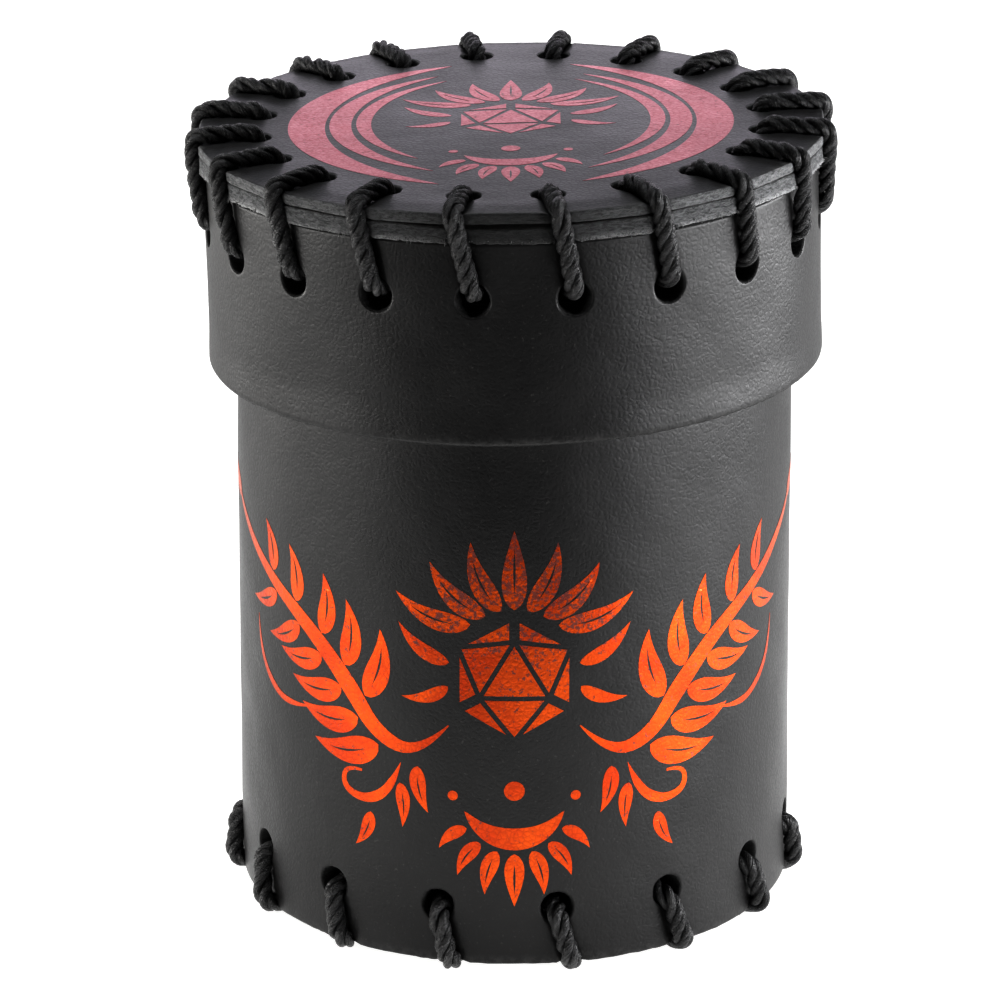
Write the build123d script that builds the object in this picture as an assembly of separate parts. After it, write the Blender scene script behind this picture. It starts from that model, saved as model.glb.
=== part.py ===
"""Lidded leather dice cup: a rolled wall laced round a base disc, and a cap lid laced the same way.

Millimetres, +Z up. The origin is the centre of the base, on the surface that the cup stands on.
Angles run round the cup in degrees, from the front (-Y) towards +X.
"""

import math
import os

from build123d import *

# Driving dimensions ------------------------------------------------------------------------------
LID_RADIUS = 45.0  # outside of the lid's wall
LID_LEATHER = 3.6  # thickness of the lid's wall
LID_FOOT_Z = 82.4  # lower edge of the lid
LID_TOP_Z = 116.4  # top face of the lid's disc
LID_DISC_RADIUS = 46.0  # the disc stands 1 mm proud of the wall
LID_FACE_LEATHER = 1.6  # the finished outer layer of the disc
LID_LINER_LEATHER = 2.6  # the liner bonded under it

CUP_FOOT_Z = 1.0  # lower edge of the cup's leather, which the lacing holds off the table
CUP_RIM_Z = 101.5
CUP_FOOT_RADIUS = 41.6  # the wall narrows a little towards its rim
CUP_RIM_RADIUS = 40.75
CUP_LEATHER = 3.6
BASE_RADIUS = 37.9  # the base disc is pressed inside the wall, flush with its lower edge
BASE_LEATHER = 4.0

LACE_HOLE_RADIUS = 2.35
LACE_PULL = 0.7  # tension draws a lace towards the edge that it binds, off the middle of its holes
LACE_RIDE = 0.55  # height of a lace's centreline over the leather that it presses into
LACE_CLEARANCE = 0.03
LACE_BEND = 2.0  # radius of a lace's centreline round an edge
LACE_INNER_BEND = 2.6  # and where it turns along the inside
LACE_SLANT = 3.0  # degrees that each stitch leans between its two holes

LID_LACE_RADIUS = 1.45
LID_STITCHES = 20
LID_FIRST_HOLE = -7.0  # angle of the first hole in the wall
LID_WALL_HOLE_Z = 103.6
LID_DISC_HOLE_OFFSET = 37.3  # from the axis to a hole in the disc
LID_LAST_STITCH = 9  # its lace ends in the knot, at the back
LID_KNOT_SHIFT = (1.5, 0.3)

BASE_LACE_RADIUS = 1.55
BASE_STITCHES = 15
BASE_FIRST_HOLE = -15.5
BASE_WALL_HOLE_Z = 9.9
BASE_DISC_HOLE_OFFSET = 31.6
BASE_LACE_SLACK = 0.5  # between the lace and the base disc, inside the cup
BASE_LAST_STITCH = 7
BASE_KNOT_SHIFT = (0.3, 1.0)  # of the knot from the middle of its run, inwards and upwards

KNOT_RADIUS = 2.8
KNOT_LENGTH = 5.6
KNOT_GAP = 1.0  # between the lace's two ends, inside the knot

SEAM_LAP = 10.0  # degrees over which the two skived ends of a rolled wall overlap
SEAM_GAP = 0.1  # the glue line
LID_SEAM_ANGLE = 182.0  # at the back, midway between two lace holes
CUP_SEAM_ANGLE = 188.5
THREAD_RADIUS = 0.4
THREAD_CLEARANCE = 0.03
THREAD_DEPTH = 0.3  # of the thread's centreline under the leather's face
THREAD_ROW_ANGLE = 2.2  # from the middle of the seam to each row of stitching
THREAD_PITCH = 4.3
CUP_ROW_FOOT_Z = 8.0  # first and last stitching holes
CUP_ROW_TOP_Z = 98.6
LID_ROW_FOOT_Z = 85.7
LID_ROW_TOP_Z = 108.7

EDGE_BEVEL = 0.5  # along the walls' edges
EDGE_ROUND = 0.7  # burnished edge of a disc
OVERRUN = 4.0  # how far a cutting shape passes the face it cuts

# Values worked out from them ---------------------------------------------------------------------
LID_FACE_Z = LID_TOP_Z - LID_FACE_LEATHER  # where the disc's two layers meet
LID_WALL_TOP_Z = LID_FACE_Z - LID_LINER_LEATHER
LID_INNER_RADIUS = LID_RADIUS - LID_LEATHER
BASE_TOP_Z = CUP_FOOT_Z + BASE_LEATHER


def polar(radius, angle, z):
    """The point this far from the axis, this many degrees from the front, at this height."""
    turn = math.radians(angle)
    return Vector(radius * math.sin(turn), -radius * math.cos(turn), z)


def cup_radius(z):
    """Outer radius of the cup's tapered wall at height z."""
    share = (z - CUP_FOOT_Z) / (CUP_RIM_Z - CUP_FOOT_Z)
    return CUP_FOOT_RADIUS + share * (CUP_RIM_RADIUS - CUP_FOOT_RADIUS)


def lid_radius(z):
    """Outer radius of the lid's wall, which is the same at every height."""
    return LID_RADIUS


# Basic shapes ------------------------------------------------------------------------------------
def rod(radius, start, end):
    """A round rod from one point to another."""
    length = (end - start).length
    return Plane(origin=start, z_dir=end - start) * Cylinder(
        radius, length, align=(Align.CENTER, Align.CENTER, Align.MIN)
    )


def rolled_wall(outer_radius, leather, foot_z, top_z):
    """A tube of leather with bevelled edges, its outer radius given as a function of height."""
    outline = Polyline(
        (outer_radius(foot_z) - leather, 0, foot_z),
        (outer_radius(foot_z), 0, foot_z),
        (outer_radius(top_z), 0, top_z),
        (outer_radius(top_z) - leather, 0, top_z),
        close=True,
    )
    tube = revolve(make_face(outline), Axis.Z)
    return chamfer(tube.edges().filter_by(GeomType.CIRCLE), EDGE_BEVEL)


def leather_disc(radius, foot_z, top_z, burnished_z):
    """A leather disc whose edge is burnished at one face."""
    plate = rod(radius, Vector(0, 0, foot_z), Vector(0, 0, top_z))
    rims = plate.edges().filter_by(GeomType.CIRCLE).sort_by(Axis.Z)
    burnished = rims[-1] if burnished_z == top_z else rims[0]
    return fillet(burnished, EDGE_ROUND)


def wall_holes(count, first_angle, z, outer_radius, leather):
    """The punched lace holes in a wall."""
    inner = outer_radius(z) - leather - OVERRUN
    outer = outer_radius(z) + OVERRUN
    angles = [first_angle + k * 360 / count for k in range(count)]
    return [rod(LACE_HOLE_RADIUS, polar(inner, angle, z), polar(outer, angle, z)) for angle in angles]


def disc_holes(count, first_angle, offset, foot_z, top_z):
    """The punched lace holes in a disc."""
    low, high = foot_z - OVERRUN, top_z + OVERRUN
    angles = [first_angle + k * 360 / count for k in range(count)]
    return [rod(LACE_HOLE_RADIUS, polar(offset, angle, low), polar(offset, angle, high)) for angle in angles]


def lap_slit(seam_angle, outer_radius, leather, foot_z, top_z):
    """The thin slanting gap between the two skived ends of a rolled wall."""
    outer_end = polar(outer_radius(foot_z), seam_angle - SEAM_LAP / 2, foot_z - OVERRUN)
    inner_end = polar(outer_radius(foot_z) - leather, seam_angle + SEAM_LAP / 2, foot_z - OVERRUN)
    along = (inner_end - outer_end).normalized()
    across = along.cross(Vector(0, 0, 1)) * (SEAM_GAP / 2)
    start, end = outer_end - along * OVERRUN, inner_end + along * OVERRUN
    outline = Polyline(start + across, end + across, end - across, start - across, close=True)
    return extrude(make_face(outline), top_z - foot_z + 2 * OVERRUN, dir=(0, 0, 1))


# Lacing ------------------------------------------------------------------------------------------
def lid_stitch(k):
    """Corners of a lid stitch, from under the disc, over its edge, to the inside of the wall."""
    wall_angle = LID_FIRST_HOLE + k * 360 / LID_STITCHES
    disc_angle = wall_angle - LACE_SLANT
    offset = LID_DISC_HOLE_OFFSET + LACE_PULL
    over_z = LID_TOP_Z + LACE_RIDE
    hole_z = LID_WALL_HOLE_Z + LACE_PULL
    return [
        polar(offset, disc_angle, LID_WALL_TOP_Z - LID_LACE_RADIUS),
        polar(offset, disc_angle, over_z),
        polar(LID_DISC_RADIUS + LACE_RIDE, disc_angle, over_z),
        polar(LID_RADIUS + LACE_RIDE, wall_angle, hole_z),
        polar(LID_INNER_RADIUS - LID_LACE_RADIUS, wall_angle, hole_z),
    ]


def base_stitch(k):
    """Corners of a base stitch, from the inside of the wall, under its edge, to above the disc."""
    wall_angle = BASE_FIRST_HOLE + k * 360 / BASE_STITCHES
    disc_angle = wall_angle + LACE_SLANT
    offset = BASE_DISC_HOLE_OFFSET + LACE_PULL
    under_z = CUP_FOOT_Z + LACE_RIDE
    hole_z = BASE_WALL_HOLE_Z - LACE_PULL
    return [
        polar(cup_radius(hole_z) - CUP_LEATHER - BASE_LACE_RADIUS, wall_angle, hole_z),
        polar(cup_radius(hole_z) + LACE_RIDE, wall_angle, hole_z),
        polar(CUP_FOOT_RADIUS + LACE_RIDE, disc_angle, under_z),
        polar(offset, disc_angle, under_z),
        polar(offset, disc_angle, BASE_TOP_Z + BASE_LACE_RADIUS + BASE_LACE_SLACK),
    ]


def knot_axis(stitch, last, shift):
    """The middle of the knot on the inside run that follows the last stitch, and the way it points."""
    start, end = stitch(last)[-1], stitch(last + 1)[0]
    middle = (start + end) / 2
    inwards = Vector(-middle.X, -middle.Y, 0).normalized()
    return middle + inwards * shift[0] + Vector(0, 0, shift[1]), (end - start).normalized()


def lace_route(stitch, count, last, shift):
    """A lace's centreline, from inside its knot, once round the cup, and into the knot again."""
    middle, along = knot_axis(stitch, last, shift)
    corners = [point for k in range(last + 1, last + 1 + count) for point in stitch(k)]
    half_gap = along * KNOT_GAP / 2
    bends = [LACE_INNER_BEND, LACE_BEND, LACE_BEND, LACE_BEND, LACE_INNER_BEND]
    return FilletPolyline(middle + half_gap, *corners, middle - half_gap, radius=bends * count)


def lace(route, radius):
    """A round lace of this radius along its centreline."""
    section = Plane(origin=route @ 0, z_dir=route % 0) * Circle(radius)
    return sweep(section, path=Wire(route.edges()))


def knot(stitch, last, shift, groove):
    """The knot that joins a lace's two ends: a rounded barrel that both ends run into."""
    middle, along = knot_axis(stitch, last, shift)
    barrel = rod(KNOT_RADIUS, middle - along * KNOT_LENGTH / 2, middle + along * KNOT_LENGTH / 2)
    return fillet(barrel.edges().filter_by(GeomType.CIRCLE), EDGE_ROUND) - groove


# Seam stitching ----------------------------------------------------------------------------------
def seam_row(angle, outer_radius, leather, foot_z, top_z, radius):
    """One row of saddle stitching: a thread along each face and one through the leather at each hole."""
    spaces = round((top_z - foot_z) / THREAD_PITCH)
    heights = [foot_z + k * (top_z - foot_z) / spaces for k in range(spaces + 1)]

    def outside(z):
        return polar(outer_radius(z) - THREAD_DEPTH, angle, z)

    def inside(z):
        return polar(outer_radius(z) - leather + THREAD_DEPTH, angle, z)

    threads = [rod(radius, outside(foot_z - radius), outside(top_z + radius))]
    threads.append(rod(radius, inside(foot_z - radius), inside(top_z + radius)))
    threads.extend(rod(radius, inside(z), outside(z)) for z in heights)
    return threads[0].fuse(*threads[1:])


# Pieces ------------------------------------------------------------------------------------------
def cup_wall(groove, thread_grooves):
    wall = rolled_wall(cup_radius, CUP_LEATHER, CUP_FOOT_Z, CUP_RIM_Z)
    slit = lap_slit(CUP_SEAM_ANGLE, cup_radius, CUP_LEATHER, CUP_FOOT_Z, CUP_RIM_Z)
    holes = wall_holes(BASE_STITCHES, BASE_FIRST_HOLE, BASE_WALL_HOLE_Z, cup_radius, CUP_LEATHER)
    return wall - slit - holes - groove - thread_grooves


def cup_base(groove):
    plate = leather_disc(BASE_RADIUS, CUP_FOOT_Z, BASE_TOP_Z, BASE_TOP_Z)
    first = BASE_FIRST_HOLE + LACE_SLANT
    return plate - disc_holes(BASE_STITCHES, first, BASE_DISC_HOLE_OFFSET, CUP_FOOT_Z, BASE_TOP_Z) - groove


def lid_wall(groove, thread_grooves):
    wall = rolled_wall(lid_radius, LID_LEATHER, LID_FOOT_Z, LID_WALL_TOP_Z)
    slit = lap_slit(LID_SEAM_ANGLE, lid_radius, LID_LEATHER, LID_FOOT_Z, LID_WALL_TOP_Z)
    holes = wall_holes(LID_STITCHES, LID_FIRST_HOLE, LID_WALL_HOLE_Z, lid_radius, LID_LEATHER)
    return wall - slit - holes - groove - thread_grooves


def lid_disc_layer(foot_z, top_z, burnished_z, groove):
    plate = leather_disc(LID_DISC_RADIUS, foot_z, top_z, burnished_z)
    first = LID_FIRST_HOLE - LACE_SLANT
    return plate - disc_holes(LID_STITCHES, first, LID_DISC_HOLE_OFFSET, foot_z, top_z) - groove


def seam_rows(seam_angle, outer_radius, leather, foot_z, top_z, radius):
    """The two rows of stitching, one each side of the seam."""
    angles = (seam_angle - THREAD_ROW_ANGLE, seam_angle + THREAD_ROW_ANGLE)
    return [seam_row(angle, outer_radius, leather, foot_z, top_z, radius) for angle in angles]


def cup_rows(radius):
    return seam_rows(CUP_SEAM_ANGLE, cup_radius, CUP_LEATHER, CUP_ROW_FOOT_Z, CUP_ROW_TOP_Z, radius)


def lid_rows(radius):
    return seam_rows(LID_SEAM_ANGLE, lid_radius, LID_LEATHER, LID_ROW_FOOT_Z, LID_ROW_TOP_Z, radius)


def model():
    """Every piece of the cup and its lid, by name."""
    base_route = lace_route(base_stitch, BASE_STITCHES, BASE_LAST_STITCH, BASE_KNOT_SHIFT)
    lid_route = lace_route(lid_stitch, LID_STITCHES, LID_LAST_STITCH, LID_KNOT_SHIFT)
    print(f"base lace {base_route.length:.1f} mm, lid lace {lid_route.length:.1f} mm")
    print(f"bends of {LACE_BEND} mm round the edges and {LACE_INNER_BEND} mm inside")
    base_groove = lace(base_route, BASE_LACE_RADIUS + LACE_CLEARANCE)
    lid_groove = lace(lid_route, LID_LACE_RADIUS + LACE_CLEARANCE)
    cup_row_left, cup_row_right = cup_rows(THREAD_RADIUS)
    lid_row_left, lid_row_right = lid_rows(THREAD_RADIUS)
    thread_groove = THREAD_RADIUS + THREAD_CLEARANCE
    return {
        "cup_wall": cup_wall(base_groove, cup_rows(thread_groove)),
        "cup_base": cup_base(base_groove),
        "base_lace": lace(base_route, BASE_LACE_RADIUS),
        "base_lace_knot": knot(base_stitch, BASE_LAST_STITCH, BASE_KNOT_SHIFT, base_groove),
        "cup_seam_thread_left": cup_row_left,
        "cup_seam_thread_right": cup_row_right,
        "lid_wall": lid_wall(lid_groove, lid_rows(thread_groove)),
        "lid_top_outer": lid_disc_layer(LID_FACE_Z, LID_TOP_Z, LID_TOP_Z, lid_groove),
        "lid_top_liner": lid_disc_layer(LID_WALL_TOP_Z, LID_FACE_Z, LID_WALL_TOP_Z, lid_groove),
        "lid_lace": lace(lid_route, LID_LACE_RADIUS),
        "lid_lace_knot": knot(lid_stitch, LID_LAST_STITCH, LID_KNOT_SHIFT, lid_groove),
        "lid_seam_thread_left": lid_row_left,
        "lid_seam_thread_right": lid_row_right,
    }


os.makedirs("parts", exist_ok=True)
for name, piece in model().items():
    export_step(piece, os.path.join("parts", name + ".step"))
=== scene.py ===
"""The looks of the laced leather dice cup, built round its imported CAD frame.

Shapes are worked out in millimetres and turned into metres when each mesh is made. Angles run round
the cup in degrees, from the front (-Y) towards +X.
"""

import math
import random

import bmesh
import bpy
import numpy as np
from mathutils import Matrix, Vector, kdtree, noise


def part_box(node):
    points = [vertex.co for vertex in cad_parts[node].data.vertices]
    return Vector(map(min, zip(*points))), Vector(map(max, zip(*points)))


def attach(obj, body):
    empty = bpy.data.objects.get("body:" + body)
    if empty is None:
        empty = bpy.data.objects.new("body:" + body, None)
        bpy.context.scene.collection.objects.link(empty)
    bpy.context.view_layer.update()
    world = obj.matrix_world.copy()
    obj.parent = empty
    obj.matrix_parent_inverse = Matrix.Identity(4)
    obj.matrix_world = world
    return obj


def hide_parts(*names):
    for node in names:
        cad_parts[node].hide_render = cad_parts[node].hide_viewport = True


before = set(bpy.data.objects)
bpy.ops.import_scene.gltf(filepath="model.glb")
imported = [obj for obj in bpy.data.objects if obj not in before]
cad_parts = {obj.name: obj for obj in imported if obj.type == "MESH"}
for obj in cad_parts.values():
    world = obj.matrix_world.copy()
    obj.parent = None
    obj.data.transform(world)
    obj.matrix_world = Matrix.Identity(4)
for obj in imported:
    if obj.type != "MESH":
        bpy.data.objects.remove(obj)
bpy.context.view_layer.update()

random.seed(7)
MM = 0.001


def span(node):
    """A CAD node's lowest and highest corners, in millimetres."""
    low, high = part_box(node)
    return np.array(low) / MM, np.array(high) / MM


# Sizes of the frame, in millimetres ---------------------------------------------------------------
LID_FOOT_Z, LID_RADIUS = span("lid_wall")[0][2], span("lid_wall")[1][0]
LID_WALL_TOP_Z = span("lid_wall")[1][2]
LID_FACE_Z, LID_TOP_Z = span("lid_top_outer")[0][2], span("lid_top_outer")[1][2]
LID_DISC_RADIUS = span("lid_top_outer")[1][0]
LID_LEATHER = 3.6
CUP_FOOT_Z, CUP_RIM_Z = span("cup_wall")[0][2], span("cup_wall")[1][2]
CUP_FOOT_RADIUS = 41.6
CUP_RIM_RADIUS = 40.75
CUP_LEATHER = 3.6
BASE_TOP_Z, BASE_RADIUS = span("cup_base")[1][2], span("cup_base")[1][0]

# Half the size of the finer grid round each hole, and the rounding of the edges and of the holes.
HOLE_RADIUS = 2.35
WALL_PATCH, DISC_PATCH, DISC_PATCH_WIDTH = 3.4, 3.0, 3.2
LID_PATCH_ANGLE, CUP_PATCH_ANGLE = 4.33, 4.7
THICK_CORNER, THIN_CORNER = 0.5, 0.3
THICK_LIP, THIN_LIP = 0.4, 0.35

# How a lace lies: pulled towards the edge in its holes, this far above the face, its two holes these
# degrees apart, and leaning towards the middle in the lid disc's holes.
LACE_PULL = 0.7
LACE_RIDE = 0.55
LACE_SLANT = 3.0
LACE_LEAN = 0.6
DRAWN_FLAT = (1.08, 0.95)
PLY_SHARE = {2: 0.50, 3: 0.50, 4: 0.43}

LID_LACE_RADIUS = 1.45
LID_STITCHES = 20
LID_FIRST_HOLE = -7.0
LID_WALL_HOLE_Z = LID_FOOT_Z + 21.2
LID_DISC_HOLE_OFFSET = 37.3
LID_LAST_STITCH = 9
LID_KNOT_SHIFT = (1.5, 0.3)

BASE_LACE_RADIUS = 1.55
BASE_STITCHES = 15
BASE_FIRST_HOLE = -15.5
BASE_WALL_HOLE_Z = 9.9
BASE_DISC_HOLE_OFFSET = 31.6
BASE_LACE_SLACK = 0.5
BASE_LAST_STITCH = 7
BASE_KNOT_SHIFT = (0.3, 1.0)

# How the lid sits askew, and where the slit between its two layers opens widest.
LID_LEAN = -1.2
LID_PITCH = 0.9
LID_SEAT_Z = LID_FOOT_Z + 9.0
SLIT_ANGLE = -4.0
LINER_LEATHER = LID_FACE_Z - LID_WALL_TOP_Z

# The lapped seams at the back, and how deep under the face a stitch's ends and its middle lie.
LID_SEAM_ANGLE = 182.0
CUP_SEAM_ANGLE = 188.5
LID_LAP_HALF = 4.2
CUP_LAP_HALF = 5.0
THREAD_ROW_ANGLE = 2.2
THREAD_RADIUS = 0.4
CUP_ROW = (8.0, CUP_RIM_Z - 2.9)
LID_ROW = (LID_FOOT_Z + 3.3, LID_FOOT_Z + 26.3)
THREAD_PITCH = 4.3
FOIL_DEPTH = 0.03
THREAD_END_DEPTH, THREAD_DEPTH = 1.1, 0.18


def polar(radius, angle, z):
    """Points this far from the axis, this many degrees from the front, at these heights."""
    turn = np.radians(angle)
    return np.stack(np.broadcast_arrays(radius * np.sin(turn), -radius * np.cos(turn), z), axis=-1)


def smooth(low, high, value):
    """0 below low, 1 above high, and a soft step between them."""
    t = np.clip((value - low) / (high - low), 0, 1)
    return t * t * (3 - 2 * t)


def unit(vectors):
    return vectors / np.linalg.norm(vectors, axis=-1, keepdims=True)


def direction(line):
    """The way a line runs at each of its points."""
    return unit(np.gradient(line, axis=0))


def square_to(along, outward):
    """The outward directions, turned square to the line."""
    return unit(outward - along * np.sum(outward * along, axis=1, keepdims=True))


def swing(angle, middle):
    """Degrees from middle to angle, the short way round."""
    return (angle - middle + 180) % 360 - 180


def cup_radius(z):
    share = (z - CUP_FOOT_Z) / (CUP_RIM_Z - CUP_FOOT_Z)
    return CUP_FOOT_RADIUS + share * (CUP_RIM_RADIUS - CUP_FOOT_RADIUS)


def seated_askew(points):
    """The lid as it sits on the cup: a little lower at its left and its front."""
    lean = Matrix.Rotation(math.radians(LID_LEAN), 3, "Y")
    turn = lean @ Matrix.Rotation(math.radians(LID_PITCH), 3, "X")
    pivot = np.array([0, 0, LID_SEAT_Z])
    return (np.asarray(points) - pivot) @ np.array(turn).T + pivot


# Meshes -------------------------------------------------------------------------------------------
def linked(name, data):
    thing = bpy.data.objects.new(name, data)
    bpy.context.scene.collection.objects.link(thing)
    return thing


def make_piece(name, points, faces, body, materials, replaced=(), layers=None, face_materials=None):
    """A mesh piece from points in millimetres, riding on a CAD body."""
    mesh = bpy.data.meshes.new(name)
    placed = seated_askew(points) if body == "lid" else np.asarray(points)
    mesh.from_pydata([tuple(p) for p in placed * MM], [], [list(f) for f in faces])
    for material in materials:
        mesh.materials.append(material)
    mesh.polygons.foreach_set("use_smooth", [True] * len(mesh.polygons))
    if face_materials is not None:
        mesh.polygons.foreach_set("material_index", face_materials)
    for key, values in (layers or {}).items():
        values = np.asarray(values, np.float32)
        kind = "FLOAT" if values.ndim == 1 else "FLOAT_VECTOR"
        layer = mesh.attributes.new(key, kind, "POINT")
        layer.data.foreach_set("value" if values.ndim == 1 else "vector", values.ravel())
    mesh.update()
    piece = linked(name, mesh)
    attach(piece, body)
    if replaced:
        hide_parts(*replaced)
    return piece


def point_normals(points, faces):
    """Outward normals at the points of a mesh of four-sided faces."""
    corners = points[faces]
    across = np.cross(corners[:, 2] - corners[:, 0], corners[:, 3] - corners[:, 1])
    normals = np.zeros_like(points)
    for k in range(4):
        np.add.at(normals, faces[:, k], across)
    lengths = np.linalg.norm(normals, axis=1, keepdims=True)
    return normals / np.maximum(lengths, 1e-12)


def joined(parts):
    """One mesh from several, each given as its points, its faces and the values at its points."""
    points, faces, values = [], [], []
    base = 0
    for part_points, part_faces, part_values in parts:
        points.append(part_points)
        faces += [[n + base for n in face] for face in part_faces]
        values.append(part_values)
        base += len(part_points)
    return np.vstack(points), faces, np.concatenate(values)


def tube(line, radii, sides, outward=None):
    """Rings of points round a centreline, and the faces between them, with rounded ends."""
    line = np.asarray(line, float)
    count = len(line)
    along = direction(line)
    if outward is None:
        outward = np.zeros_like(line)
        normal = np.cross(along[0], [0.3, 0.5, 0.8])
        for k in range(count):
            normal = unit(normal - along[k] * np.dot(normal, along[k]))
            outward[k] = normal
    outward = square_to(along, outward)
    sideways = np.cross(along, outward)
    radii = np.broadcast_to(radii, (count,))
    turns = np.arange(sides) * 2 * math.pi / sides
    rings = (
        line[:, None]
        + radii[:, None, None] * (np.cos(turns)[None, :, None] * outward[:, None]
                                  + np.sin(turns)[None, :, None] * sideways[:, None])
    )
    points = rings.reshape(-1, 3)
    i, j = np.meshgrid(np.arange(count - 1), np.arange(sides), indexing="ij")
    next_j = (j + 1) % sides
    here, there = i * sides, (i + 1) * sides
    faces = np.stack([here + j, here + next_j, there + next_j, there + j], axis=-1).reshape(-1, 4).tolist()
    first, last = len(points), len(points) + 1
    tips = np.array([line[0] - along[0] * radii[0] * 0.5, line[-1] + along[-1] * radii[-1] * 0.5])
    points = np.vstack([points, tips])
    end = (count - 1) * sides
    for j in range(sides):
        faces.append([first, (j + 1) % sides, j])
        faces.append([last, end + j, end + (j + 1) % sides])
    return points, faces


# Leather ------------------------------------------------------------------------------------------
class Leather:
    """A closed sheet of leather with punched holes, as a grid of four-sided faces.

    Each point has an angle u, a place v across the sheet (a height in a wall, a radius in a disc) and
    a depth w under the outer face. The function place turns those into a point in space.
    """

    def __init__(self, us, vs, thickness, corner, place, scale):
        self.us, self.vs, self.thickness, self.corner = us, vs, thickness, corner
        self.place, self.scale = place, scale
        self.faces = []
        self.section = []

    def edge(self, v, sign):
        """The rounded edge that follows the outer face at v and leads to the inner face."""
        steps = [math.pi / 2 * k / 3 for k in (1, 2, 3)]
        arc = [(v + sign * self.corner * math.sin(a), self.corner * (1 - math.cos(a))) for a in steps]
        depths = np.linspace(self.corner, self.thickness - self.corner, 6)[1:-1]
        flat = [(v + sign * self.corner, w) for w in depths]
        back = [(vv, self.thickness - w) for vv, w in reversed(arc)]
        return arc + flat + back

    def build_grid(self, closed):
        """The whole ring of faces. A closed section has an edge at both ends of v."""
        outer = [(v, 0.0) for v in self.vs]
        inner = [(v, self.thickness) for v in reversed(self.vs)]
        section = outer + self.edge(self.vs[-1], 1) + inner
        if closed:
            section += [(v, self.thickness - w) for v, w in self.edge(self.vs[0], -1)]
        self.section = section
        self.inner_start = len(section) - len(self.vs)
        if closed:
            self.inner_start -= len(self.edge(self.vs[0], -1))
        self.params = [(u, v, w) for u in self.us for v, w in section]
        self.closed = closed

    def index(self, i, row, inner=False):
        """The number of the grid point in column i and row of the outer or the inner face."""
        j = self.inner_start + len(self.vs) - 1 - row if inner else row
        return (i % len(self.us)) * len(self.section) + j

    def fill_grid(self, holes):
        """Faces of the grid, leaving out the patch round each hole on both faces."""
        rows = len(self.section)
        left_out = set()
        for i0, i1, r0, r1 in holes:
            for i in range(i0, i1):
                for row in range(r0, r1):
                    left_out.add((i % len(self.us), row))
                    left_out.add((i % len(self.us), self.inner_start + len(self.vs) - 2 - row))
        last = rows if self.closed else rows - 1
        for i in range(len(self.us)):
            a, b = i * rows, ((i + 1) % len(self.us)) * rows
            for j in range(last):
                if (i, j) not in left_out:
                    k = (j + 1) % rows
                    self.faces.append((a + j, b + j, b + k, a + k))

    def punch(self, i0, i1, r0, r1, u, v, radius, lip):
        """A hole at u, v: rings from the patch's rim to a rounded lip, through, and out again."""
        def rim(inner):
            around = [(i, r0) for i in range(i0, i1)] + [(i1, r) for r in range(r0, r1)]
            around += [(i, r1) for i in range(i1, i0, -1)] + [(i0, r) for r in range(r1, r0, -1)]
            return [self.index(i, row, inner) for i, row in around]

        outer_rim, inner_rim = rim(False), rim(True)
        offsets = []
        for number in outer_rim:
            pu, pv, _ = self.params[number]
            offsets.append((math.radians(swing(pu, u)) * self.scale, pv - v))
        angles = [math.atan2(dy, dx) for dx, dy in offsets]
        reach = [math.hypot(dx, dy) for dx, dy in offsets]
        depth = self.thickness
        rings = [(share, None, 0.0) for share in (0.25, 0.5, 0.72, 0.88)]
        turns = [math.pi / 2 * k / 3 for k in range(4)]
        mouth = [(radius + lip * (1 - math.sin(a)), lip * (1 - math.cos(a))) for a in turns]
        rings += [(1.0, r, w) for r, w in mouth]
        rings += [(1.0, radius, w) for w in np.linspace(lip, depth - lip, 5)[1:-1]]
        rings += [(1.0, r, depth - w) for r, w in reversed(mouth)]
        rings += [(share, None, depth) for share in (0.72, 0.36)]
        previous = outer_rim
        for share, hole_radius, w in rings:
            current = []
            for angle, far in zip(angles, reach):
                near = radius + lip
                r = hole_radius if hole_radius is not None else far + (near - far) * share
                du = math.degrees(r * math.cos(angle) / self.scale)
                self.params.append((u + du, v + r * math.sin(angle), w))
                current.append(len(self.params) - 1)
            self.join(previous, current)
            previous = current
        self.join(previous, inner_rim)

    def join(self, one, other):
        count = len(one)
        for k in range(count):
            n = (k + 1) % count
            self.faces.append((one[k], one[n], other[n], other[k]))

    def close_middle(self, steps):
        """Fills the middle of a disc on both faces with a square grid drawn out to a circle."""
        count = len(self.us)
        side = count // 4
        radius = self.vs[0]
        start = self.us[0]
        for inner in (False, True):
            w = self.thickness if inner else 0.0
            previous = [self.index(i, 0, inner) for i in range(count)]
            for step in range(1, steps + 1):
                share = step / steps
                r = radius - 1.0 * step
                ring = []
                for i in range(count):
                    even = start + i * 360 / count
                    self.params.append((even + swing(self.us[i], even) * (1 - share), r, w))
                    ring.append(len(self.params) - 1)
                self.join(*((previous, ring) if inner else (ring, previous)))
                previous = ring
            numbers = {}
            for k in range(count):
                a, b = divmod(k, side)
                numbers[[(b, 0), (side, b), (side - b, side), (0, side - b)][a]] = previous[k]
            for x in range(1, side):
                for y in range(1, side):
                    px, py = 2 * x / side - 1, 2 * y / side - 1
                    size = max(abs(px), abs(py))
                    if size < 1e-9:
                        r, turn = 0.0, 0.0
                    elif abs(px) >= abs(py):
                        turn = 45 * py / px + (0 if px > 0 else 180)
                        r = size
                    else:
                        turn = 90 - 45 * px / py + (0 if py > 0 else 180)
                        r = size
                    self.params.append((start + turn + 135, r * (radius - steps), w))
                    numbers[(x, y)] = len(self.params) - 1
            for x in range(side):
                for y in range(side):
                    corners = ((x, y), (x + 1, y), (x + 1, y + 1), (x, y + 1))
                    square = [numbers[corner] for corner in corners]
                    self.faces.append(square if inner else square[::-1])

    def points(self):
        u, v, w = np.array(self.params, float).T
        return u, v, w, self.place(u, v, w)


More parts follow.
